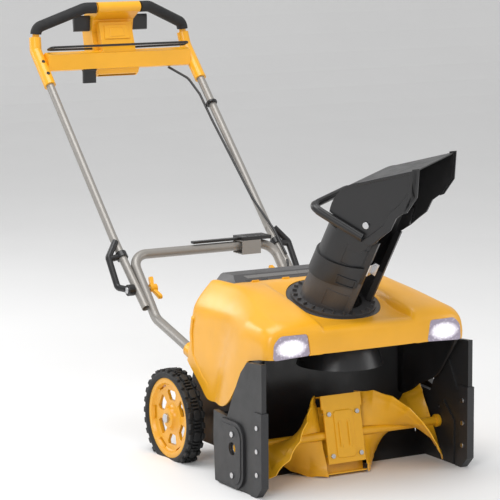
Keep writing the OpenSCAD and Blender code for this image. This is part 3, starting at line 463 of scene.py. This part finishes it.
def seen_from_front(side):
    """Sets an outline of (across, height) points at a distance behind the front."""
    return lambda a, b, h: spot(side * a, h, b)


lamp_outline = soft_outline([(155, 330), (250, 326), (248, 362), (231, 380), (163, 380)], 9)
for side in (-1, 1):
    cut(cover, blocks_mesh("lamp", [(lamp_outline, -20, 24, 1.0, seen_from_front(side))]))
for face in cover.data.polygons:
    face.use_smooth = True
cover.data.set_sharp_from_angle(angle=math.radians(35))

softened("side_vent", charcoal, 1.5)


def rounded(half_x, half_y, r, steps=5, middle=(0, 0)):
    """The outline of a rectangle with round corners."""
    return [(middle[0] + sx * (half_x - r) + r * math.cos(math.radians(start + 90 * i / steps)),
             middle[1] + sy * (half_y - r) + r * math.sin(math.radians(start + 90 * i / steps)))
            for sx, sy, start in ((1, 1, 0), (-1, 1, 90), (-1, -1, 180), (1, -1, 270))
            for i in range(steps + 1)]


def built(name, blocks, material, body, nodes=(), slot=None, width=1.0, segments=2):
    """One piece made of several blocks, with its edges rounded over."""
    piece = new_piece(name, blocks_mesh(name, blocks), material, body, nodes, slot)
    round_over(piece, width, segments, 30)


def lamp_finish():
    """Clear lens, lit: a bright middle of small sparks that falls off to a lilac edge."""
    f = Finish("lamp_lens", 0.12, Coat_Weight=0.6, Emission_Strength=1.0)
    x, z = [f.add("ShaderNodeSeparateXYZ", {}, {"Vector": f.place}, out=axis) for axis in "XZ"]
    middle_out, middle_up = 0.204, 0.351        # metres; out and up reach 1 at the lens's edge
    out = (f.add("ShaderNodeMath", {"operation": "ABSOLUTE"}, {0: x}) - middle_out) * 24
    up = (z - middle_up) * 46
    near = f.ramp(out * out + up * up, (0.0, 1.0), (1.0, 0.0))
    cells = f.add("ShaderNodeTexVoronoi", {}, {"Vector": f.place, "Scale": 150.0})
    spark = f.ramp(cells, (0.05, 1.0), (0.55, 0.0)) * 0.35 + near * 0.9
    glow = f.mix(f.ramp(spark, (0.1, 0.0), (1.15, 1.0)), rgb(0.13, 0.105, 0.15), rgb(1.0, 0.97, 1.0))
    return f.feed(Base_Color=f.mix(near, rgb(0.20, 0.18, 0.22), rgb(0.8, 0.78, 0.85)),
                  Emission_Color=glow)


lit_lens = lamp_finish()
for side, name in ((-1, "left"), (1, "right")):
    built("lens_" + name, [(lamp_outline, 1.5, 6, 1.0, seen_from_front(side))],
          lit_lens, "chassis", ["lamp_lens_" + name], width=1.2, segments=3)


def seen_from_side(side):
    """Sets an outline of (behind, height) points at a distance out from the middle."""
    return lambda a, b, h: spot(side * h, a, b)


# The ledge that the battery door lies on, its hinge knuckles and the beads along the sides
ledge_bars = [(-184, 184, 293, 304), (-184, 184, 388, 400), (-184, -174, 304, 388), (174, 184, 304, 388)]
ledge = [([(left, front), (right, front), (right, rear), (left, rear)], 420, 424, 1.0, spot)
         for left, right, front, rear in ledge_bars]
hinge_places = (-128, -46, 46, 128)
knuckle = round_points(5.5, 20, middle=(294, 448))
ledge += [(knuckle, x - 10, x + 10, 1.0, seen_from_side(1)) for x in hinge_places]
tab = [(285, 440), (293.5, 440), (292.5, 454), (290, 457.5), (287, 457.5), (285.5, 454)]
ledge += [(tab, x - 9, x + 9, 1.0, seen_from_side(1)) for x in hinge_places]
built("door_ledge", ledge, cover_yellow, "chassis", slot=slot_of["hood"], width=0.6)

bead = [(398, 372), (408, 330), (402, 268), (352, 220), (320, 204), (316, 216), (346, 234), (390, 278),
        (396, 330), (388, 366)]
built("side_beads", [(bead, 232, 240, 0.94, seen_from_side(side)) for side in (-1, 1)],
      cover_yellow, "chassis", slot=slot_of["hood"], width=2.5, segments=3)
softened("lamp_modules", bolt_steel, 0.5)


# ---- Chassis and batteries ------------------------------------------------------
# A moulded black tub between the wheels holds the tray and two block batteries. The grey
# moulded lid over them turns on a steel pin at its front edge. A stripe of lighter grey and
# a dark window over the charge display are let into its front slope.

softened("chassis_tub", satin_black, 2.5, 3)
softened("battery_tray", satin_black, 1.0)
softened("batteries", satin_black, 3, 3)
softened("battery_lid", charcoal, 4, 4, 24)


def on_lid(a, b, h):
    """A place on the sloping front face of the lid: a across, b up the slope, h proud."""
    along, proud = Vector((0, 40, 18)).normalized(), Vector((0, -18, 40)).normalized()
    slope_front, slope_foot = 300, 446
    return spot(a, slope_front, slope_foot) + (along * b + proud * h) * MM


stripe_grey = moulded("stripe_grey", (0.16, 0.155, 0.15), 0.3, grain=0.00004)
window_black = moulded("window_black", (0.010, 0.009, 0.009), 0.12, grain=0.00001, coat=0.5)
cell_red = moulded("cell_red", (0.10, 0.030, 0.016), 0.35, grain=0.00003)
built("lid_stripe", [([(-128, 24), (150, 24), (156, 37), (-134, 37)], -0.4, 0.7, 0.995, on_lid)],
      stripe_grey, "lid", slot=slot_of["battery_lid"], width=0.3)
built("lid_window", [([(-136, 3), (-82, 3), (-78, 19), (-140, 19)], -0.4, 0.9, 0.97, on_lid)],
      window_black, "lid", slot=slot_of["battery_lid"], width=0.4)
cells = [[(x - 5, 6), (x + 5, 6), (x + 5, 15), (x - 5, 15)] for x in (-118, -104)]
built("charge_cells", [(cell, 0.5, 1.5, 0.9, on_lid) for cell in cells],
      cell_red, "lid", slot=slot_of["battery_lid"], width=0.3)
softened("lid_hinge_pin", bolt_steel, 0.4)
softened("frame_brackets", cover_yellow, 1.5)


# ---- Drive ----------------------------------------------------------------------
# A steel-cased motor turns the auger through a small pulley, a rubber belt and a large
# pulley on the end of its shaft. A moulded black cover on the right panel hides them.

softened("drive_cover", satin_black, 2, 3)
softened("drive_motor", bolt_steel, 1)
for node in ("motor_pulley", "driven_pulley", "shaft_bearings"):
    softened(node, bolt_steel, 0.5)
softened("drive_belt", satin_black, 0.4)


# ---- Auger ----------------------------------------------------------------------
# Yellow painted steel flights with pressed creases and a scalloped edge, and two throwing
# plates clamped on the shaft by four bolts. Grit has scuffed them.

def painted(name, colour, roughness, metallic, flake=0.05, wear=None):
    """Powder coat on steel: slight orange peel, and bare metal in small scuffs if it is worn."""
    f = Finish(name, roughness, metallic)
    tone = f.mix(f.noise(60), rgb(*[c * (1 - flake) for c in colour]),
                 rgb(*[c * (1 + flake) for c in colour]))
    rough = roughness - 0.05 + f.noise(120) * 0.1
    if wear:
        scuff = f.ramp(f.noise(85, 8, 0.7) * 0.6 + f.noise(14, 4) * 0.4, (0.60, 0.0), (0.66, 1.0))
        tone = f.mix(scuff, tone, rgb(*wear))
        rough = rough + scuff * 0.2
    return f.feed(Base_Color=tone, Roughness=rough, Normal=f.bump(f.noise(420, 2), 0.00008))


auger_yellow = painted("auger_yellow", (0.80, 0.40, 0.012), 0.34, 0.0, wear=(0.62, 0.27, 0.02))
auger_at = spot(0, 119, 112)
flight_reach, flight_root, flight_sheet = 95, 10.3, 3
flight_inner_end, flight_outer_end, flight_sweep = 54, 249, 170
scallop_count, scallop_depth = 7, 0.05      # the depth is a share of the reach
crease_height, crease_from = 3.0, 0.30      # shares are of the way out from the shaft
line_height, line_at, line_width = 2.2, 0.80, 0.035
steps_along, steps_out = 132, 16


def flight_mesh(name, side, start):
    """One screw-shaped blade, with a line pressed along its edge and a crease at each scallop."""
    rows = []
    for i in range(steps_along + 1):
        share = i / steps_along
        wave = abs(math.sin(math.pi * scallop_count * share))
        reach = flight_reach * (1 - scallop_depth * wave)
        angle = math.radians(start + flight_sweep * share)
        row = []
        for j in range(steps_out + 1):
            out = j / steps_out
            radius = flight_root + (reach - flight_root) * out
            crease = crease_height * (wave - 0.5) * min(1, max(0, out - crease_from) / 0.3)
            line = line_height * math.exp(-((out - line_at) / line_width) ** 2)
            x = flight_inner_end + (flight_outer_end - flight_inner_end) * share
            x += flight_sheet / 2 + crease + line
            row.append(auger_at + Vector((side * x, radius * math.cos(angle), radius * math.sin(angle))) * MM)
        rows.append(row)
    return grid_mesh(name, rows, flip=side > 0)


for side, name in ((-1, "left"), (1, "right")):
    for part, start in (("a", 70), ("b", 250)):
        blade_name = "blade_" + name + "_" + part
        blade = new_piece(blade_name, flight_mesh(blade_name, side, start), auger_yellow, "auger",
                          ["auger_flight_" + name])
        sheet = blade.modifiers.new("sheet", "SOLIDIFY")
        sheet.thickness, sheet.offset = flight_sheet * MM, 0
        round_over(blade, 0.6, 2, 50)
softened("auger_shaft", auger_yellow, 0.8)
softened("auger_paddles", auger_yellow, 1.2)
softened("auger_bolts", bolt_steel, 0.8)

plate_turn = Matrix.Rotation(math.radians(-12), 4, "X")
plate_front = 14        # distance of a plate's face from the middle of the shaft


def on_plate(face):
    """Sets an outline of (across, up) points on the front (-1) or rear (1) throwing plate."""
    return lambda a, b, h: auger_at + plate_turn @ (Vector((a, face * (plate_front + h), b)) * MM)


# A raised panel with two ribs pressed into it, on both faces
pressed = []
for face in (-1, 1):
    pressed.append((rounded(26, 56, 9), -0.5, 2.6, 0.95, on_plate(face)))
    pressed += [(rounded(4, 34, 3.9, middle=(x, 0)), 2, 5.2, 0.8, on_plate(face)) for x in (-12, 12)]
built("pressed_panels", pressed, auger_yellow, "auger", slot=slot_of["auger_paddles"], segments=3)


# ---- Chute ----------------------------------------------------------------------
# A moulded chute in two halves: a charcoal foot on the ribbed ring in the cover, and a black
# upper half with a collar. The deflector is a black moulding that tilts on two steel bolts,
# with a pull handle round its front.

softened("chute_base", charcoal, 1.2)
softened("chute_lower", charcoal, 0.8)
softened("chute_upper", satin_black, 1.2)
softened("chute_latch", bolt_steel, 0.4)
softened("deflector", satin_black, 1.8, 3)
softened("deflector_bolts", bolt_steel, 1.0, 3)

chute_turn = Matrix.Rotation(math.radians(28), 4, "Z")
chute_frame = Matrix.Translation(ring_centre) @ ring_tilt @ chute_turn
chute_lean = Matrix.Rotation(math.radians(13), 4, "X")
tube_radius = 77


def on_tube(a, b, h):
    """A place on the leaning tube: a millimetres round from its open front, b up it, h proud."""
    angle, reach = a / tube_radius, tube_radius + h
    return chute_frame @ (chute_lean @ (Vector((reach * math.sin(angle), -reach * math.cos(angle), b)) * MM))


def strip_frame(a0, a1, b0, b1, width, low, high):
    """Four thin strips round a rectangle on the tube, each in short lengths so that it bends."""
    steps = 8
    stops = [a0 + (a1 - a0) * i / steps for i in range(steps + 1)]
    boxes = [(left, right, b - width / 2, b + width / 2)
             for b in (b0, b1) for left, right in zip(stops, stops[1:])]
    boxes += [(a - width / 2, a + width / 2, b0, b1) for a in (a0, a1)]
    return [([(left, foot), (right, foot), (right, top), (left, top)], low, high, 1.0, on_tube)
            for left, right, foot, top in boxes]


for side, name in ((-1, "left"), (1, "right")):
    built("lower_frame_line_" + name, strip_frame(side * 58, side * 116, 18, 62, 3, -0.6, 1.2),
          charcoal, "chute", slot=slot_of["chute_lower"], width=0.5)
    built("collar_frame_" + name, strip_frame(side * 62, side * 104, 88, 108, 4, 4, 7.2),
          satin_black, "chute", slot=slot_of["chute_upper"], width=0.6)
    built("upper_frame_line_" + name, strip_frame(side * 60, side * 112, 138, 186, 3, -0.6, 1.2),
          satin_black, "chute", slot=slot_of["chute_upper"], width=0.5)


def on_deflector(side):
    """Sets a side view of the deflector, (ahead, up), at a distance out from its middle."""
    return lambda a, b, h: chute_frame @ (Vector((side * h, -a, b)) * MM)


# The pull handle: a flat bar bent in a U, from one cheek round to the other. Each point of
# its middle line: across, and along the slope of the arms.
grip_half, grip_bend, grip_reach = 88, 28, 144.7
grip_foot_y, grip_foot_z = -92, 212
grip_line = [(grip_half, s) for s in (0, 30, 60, 90, 112)]
grip_line += [(grip_half - grip_bend + grip_bend * math.cos(math.radians(a)),
               grip_reach - grip_bend + grip_bend * math.sin(math.radians(a))) for a in range(15, 90, 15)]
grip_line += [(x, grip_reach) for x in (58, 20, -20, -58)]
grip_line += [(-x, s) for x, s in reversed(grip_line[:10])]
grip_section = rounded(10, 5.5, 4.5)
grip_slope = Vector((0, 142, 28)).normalized()
grip_up = Vector((0, -28, 142)).normalized()
rows = []
for i, (x, s) in enumerate(grip_line):
    ahead, behind = grip_line[min(i + 1, len(grip_line) - 1)], grip_line[max(i - 1, 0)]
    along = (Vector((ahead[0] - behind[0], 0, 0)) + grip_slope * (ahead[1] - behind[1])).normalized()
    out = along.cross(grip_up)
    centre = Vector((x, grip_foot_y, grip_foot_z)) + grip_slope * s
    rows.append([chute_frame @ ((centre + grip_up * u + out * v) * MM)
                 for u, v in grip_section + grip_section[:1]])
grip = new_piece("deflector_grip", grid_mesh("deflector_grip", rows), satin_black, node_body["deflector"],
                 slot=slot_of["deflector"])
bm = bmesh.new()
bm.from_mesh(grip.data)
bmesh.ops.remove_doubles(bm, verts=bm.verts, dist=0.00001)
bmesh.ops.holes_fill(bm, edges=bm.edges)
faced(bm, grip.data)
for face in grip.data.polygons:
    face.use_smooth = True
grip.data.set_sharp_from_angle(angle=math.radians(60))

# The raised border on each cheek: a band up its edge, and a line under its round crown
border = [(103, 196), (119, 205), (135, 227), (153, 250), (162, 282), (183, 307), (200, 347), (192, 408),
          (174, 398), (180, 350), (166, 318), (145, 291), (136, 258), (119, 238), (104, 219), (92, 208)]
bands = len(border) // 2 - 1
crown_ahead, crown_up, crown_end = 93, 242, math.radians(118)
crown_ends = [(crown_ahead + radius * math.cos(crown_end), crown_up + radius * math.sin(crown_end))
              for radius in (96, 90)]
cheek = 82              # half width over the deflector's cheeks
top_line = [(190, 407), *crown_ends, (178, 394)]
bm = bmesh.new()
for side in (-1, 1):
    place = on_deflector(side)
    for i in range(bands):
        add_block(bm, [border[i], border[i + 1], border[-2 - i], border[-1 - i]], cheek, cheek + 5, 1.0, place)
    add_block(bm, top_line, cheek, cheek + 4, 1.0, place)
bmesh.ops.remove_doubles(bm, verts=bm.verts, dist=0.00005)
round_over(new_piece("deflector_border", faced(bm, bpy.data.meshes.new("deflector_border")), satin_black,
                     node_body["deflector"], slot=slot_of["deflector"]), 1.2, 2, 40)


# ---- Wheels ---------------------------------------------------------------------
# Yellow moulded discs, dished, with six windows and six slots, on a fixed steel axle. The
# black tyres have plain side walls, a belt of eight-sided lugs with bars between them, and
# square lugs on both shoulders.

rubber = moulded("tyre_rubber", (0.013, 0.013, 0.013), 0.62, grain=0.00012, grain_size=800)
axle_at = spot(0, 450, 118)
tyre_radius, tread_base, rim_radius = 118, 111.5, 95
wheel_inside, wheel_outside = 236, 281
pitches = 14            # lugs round the tyre


def on_wheel(side, x, radius, angle):
    """A point this far out from the middle and from the axle, turned round it from the top."""
    return axle_at + Vector((side * x, radius * math.sin(angle), radius * math.cos(angle))) * MM


def spun_mesh(name, profile, steps, place):
    """A closed outline of (x, radius) points turned all the way round the axle."""
    points = [place(x, r, math.tau * i / steps) for i in range(steps) for x, r in profile]
    count = len(profile)
    quads = [(i * count + j, i * count + (j + 1) % count, (i + 1) % steps * count + (j + 1) % count,
              (i + 1) % steps * count + j) for i in range(steps) for j in range(count)]
    mesh = bpy.data.meshes.new(name)
    mesh.from_pydata(points, [], quads)
    return mesh


def add_tread(mesh, side):
    """Adds the tyre's lugs: outlines are (round the tyre, across it), in millimetres."""
    bm = bmesh.new()
    bm.from_mesh(mesh)
    middle = (wheel_inside + wheel_outside) / 2
    pitch = math.tau * tyre_radius / pitches
    lug_half_length, lug_half_width, bar_half = 13, 9, 2.4
    shoulder_inside, shoulder_outside = 12, 20.5

    def place(around, across, radius):
        return on_wheel(side, middle + across, radius, around / tyre_radius)

    for i in range(pitches):
        at = i * pitch
        octagon = [(at + lug_half_length * u, lug_half_width * v) for u, v in
                   ((-1, -.5), (-.5, -1), (.5, -1), (1, -.5), (1, .5), (.5, 1), (-.5, 1), (-1, .5))]
        add_block(bm, octagon, tread_base - 1, tyre_radius, 0.86, place)
        for bar in (-9, 0, 9):
            centre = at + pitch / 2 + bar
            outline = [(centre + bar_half * u, lug_half_width * v) for u, v in
                       ((-1, -1), (1, -1), (1, 1), (-1, 1))]
            add_block(bm, outline, tread_base - 1, tyre_radius - 0.6, 0.8, place)
        for edge in (-1, 1):
            inside, outside = edge * shoulder_inside, edge * shoulder_outside
            for lug in (at, at + 0.5 * pitch):
                outline = [(lug - 9, inside), (lug + 9, inside), (lug + 7, outside), (lug - 7, outside)]
                add_block(bm, outline, tread_base - 4, tyre_radius - 1.2, 0.9, place)
    faced(bm, mesh)


tyre_profile = [(240, rim_radius), (237, 99), (236, 105), (238.5, 109.5), (244, tread_base),
                (273, tread_base), (278.5, 109.5), (281, 105), (280, 99), (276, rim_radius)]
disc_profile = [(277, 6.2), (277, 20), (275.5, 23), (268, 25.5), (263, 31), (262, 38), (265, 66), (266, 76),
                (269, 80), (275, 83), (276, 86), (276, 92), (275, rim_radius), (240, rim_radius), (241, 91),
                (246, 85), (256, 80), (258, 70), (254, 38), (252, 30), (242, 24), (241, 20), (241, 6.2)]
window = [(-13, 41), (13, 41), (20, 58), (17, 65), (-17, 65), (-20, 58)]
rim_slot = [(-17, 74.5), (17, 74.5), (16, 79), (-16, 79)]
window_count = 6


def through_disc(side, turn):
    """Sets an outline of (across, out from the hub) points, turned round the wheel."""
    return lambda a, b, x: on_wheel(side, x, math.hypot(a, b), turn + math.atan2(a, b))


for side, name in ((-1, "left"), (1, "right")):
    def place(x, radius, angle):
        return on_wheel(side, x, radius, angle)

    disc_mesh = spun_mesh("wheel_disc_" + name, disc_profile, steps=96, place=place)
    bm = bmesh.new()
    bm.from_mesh(disc_mesh)
    disc = new_piece("wheel_disc_" + name, faced(bm, disc_mesh), cover_yellow, node_body["wheel_" + name],
                     ["wheel_" + name])
    turns = [(window, math.tau * i / window_count) for i in range(window_count)]
    turns += [(rim_slot, math.tau * (i + 0.5) / window_count) for i in range(window_count)]
    cut(disc, blocks_mesh("windows", [(outline, wheel_inside - 6, wheel_outside + 9, 1.0,
                                       through_disc(side, turn)) for outline, turn in turns]))
    round_over(disc, 1.2, 2, 40)
    tyre_mesh = spun_mesh("tread_tyre_" + name, tyre_profile, steps=112, place=place)
    add_tread(tyre_mesh, side)
    tyre = new_piece("tread_tyre_" + name, tyre_mesh, rubber, node_body["tyre_" + name], ["tyre_" + name])
    round_over(tyre, 0.8, 1, 40)
softened("axle", bolt_steel, 0.6)
softened("wheel_bolts", bolt_steel, 1.5, 3)


# ---- Handle ---------------------------------------------------------------------
# Bent steel tubes, coated silver grey. The upper ones fold on bolts and are held by yellow
# moulded wing knobs. Black carrying handles are fixed beside the fold, and the clean-out
# tool is clipped onto the crossbar.

tube_grey = painted("tube_grey", (0.300, 0.285, 0.265), 0.38, 0.35)
for node in ("lower_frame", "upper_tube_left", "upper_tube_right", "tool_bracket"):
    softened(node, tube_grey, 0.5)
softened("clean_out_tool", satin_black, 1.5, 3)
for side in ("left", "right"):
    softened("carry_handle_" + side, satin_black, 1.5)
    softened("wing_knob_" + side, cover_yellow, 1.5)
softened("pivot_bolts", bolt_steel, 0.8)


# ---- Console --------------------------------------------------------------------
# A yellow moulded control head, screwed onto the tops of the tubes. It carries foam grips,
# a bail of bent wire, moulded paddles and a lock tab, and a black cable runs down from it.

foam = moulded("foam", (0.012, 0.012, 0.013), 0.75, grain=0.0002, grain_size=1800)
softened("console", cover_yellow, 6, 4, 24)

tube_half = 222         # half the distance between the upper tubes
top_behind, top_height = 1184.27, 859.61    # where the upper tubes end


def on_console(a, b, h):
    """A place on the front of the console's column: a across, b up its slope, h proud."""
    along, proud = Vector((0, 30, 86)).normalized(), Vector((0, -86, 30)).normalized()
    foot_behind, foot_up = top_behind + 26, top_height + 60
    return spot(a, foot_behind, foot_up) + (along * b + proud * h) * MM


built("console_pad", [([(-40, 44), (40, 44), (35, 84), (-35, 84)], -6, 3, 0.94, on_console),
                      ([(-24, 50), (24, 50), (21, 76), (-21, 76)], 2, 4.5, 0.9, on_console)],
      cover_yellow, "handle", slot=slot_of["console"], width=2.5, segments=3)


def on_socket(side):
    """A place on the sleeve that takes an upper tube: a across, b up the tube, h proud of it."""
    along, proud = Vector((0, 0.7009, 0.7133)), Vector((0, -0.7133, 0.7009))
    return lambda a, b, h: spot(side * tube_half + a, top_behind, top_height) + (along * b + proud * h) * MM


built("socket_screws", [(round_points(5, 24, middle=(0, up)), 14, 17, 0.9, on_socket(-1)) for up in (18, 58)],
      satin_black, "handle", slot=slot_of["console"], width=0.5)
built("cable_tie", [(round_points(15.5, 15, middle=(-3, 3)), -104, -98, 1.0,
                     lambda a, b, h: on_socket(1)(a, h, b))],
      satin_black, "handle", slot=slot_of["harness_upper"], width=1.0)
softened("grips", foam, 2, 3)
for node in ("auger_bail", "harness_upper", "harness_lower"):
    softened(node, satin_black, 0.3)
for node in ("paddle_trigger", "lock_lever"):
    softened(node, satin_black, 2, 3)


# ---- Floor ----------------------------------------------------------------------
# A pale sheet of painted board that the machine stands on, curved up into a wall behind it.
# It isn't part of the machine.

floor_paint = Finish("floor_paint", 0.6)
floor_paint.feed(Base_Color=floor_paint.mix(floor_paint.noise(2), rgb(0.86, 0.86, 0.86),
                                            rgb(0.9, 0.9, 0.9)))
floor_profile = [(-9, 0), (5, 0), (6.6, 0.35), (7.6, 1.4), (8, 3), (8, 9)]
floor_mesh = grid_mesh("floor", [[(x, y, z) for x in (-14, 14)] for y, z in floor_profile])
floor_mesh.materials.append(floor_paint.material)
floor = bpy.data.objects.new("floor", floor_mesh)
bpy.context.collection.objects.link(floor)
floor_curve = floor.modifiers.new("smooth", "SUBSURF")
floor_curve.levels = floor_curve.render_levels = 3
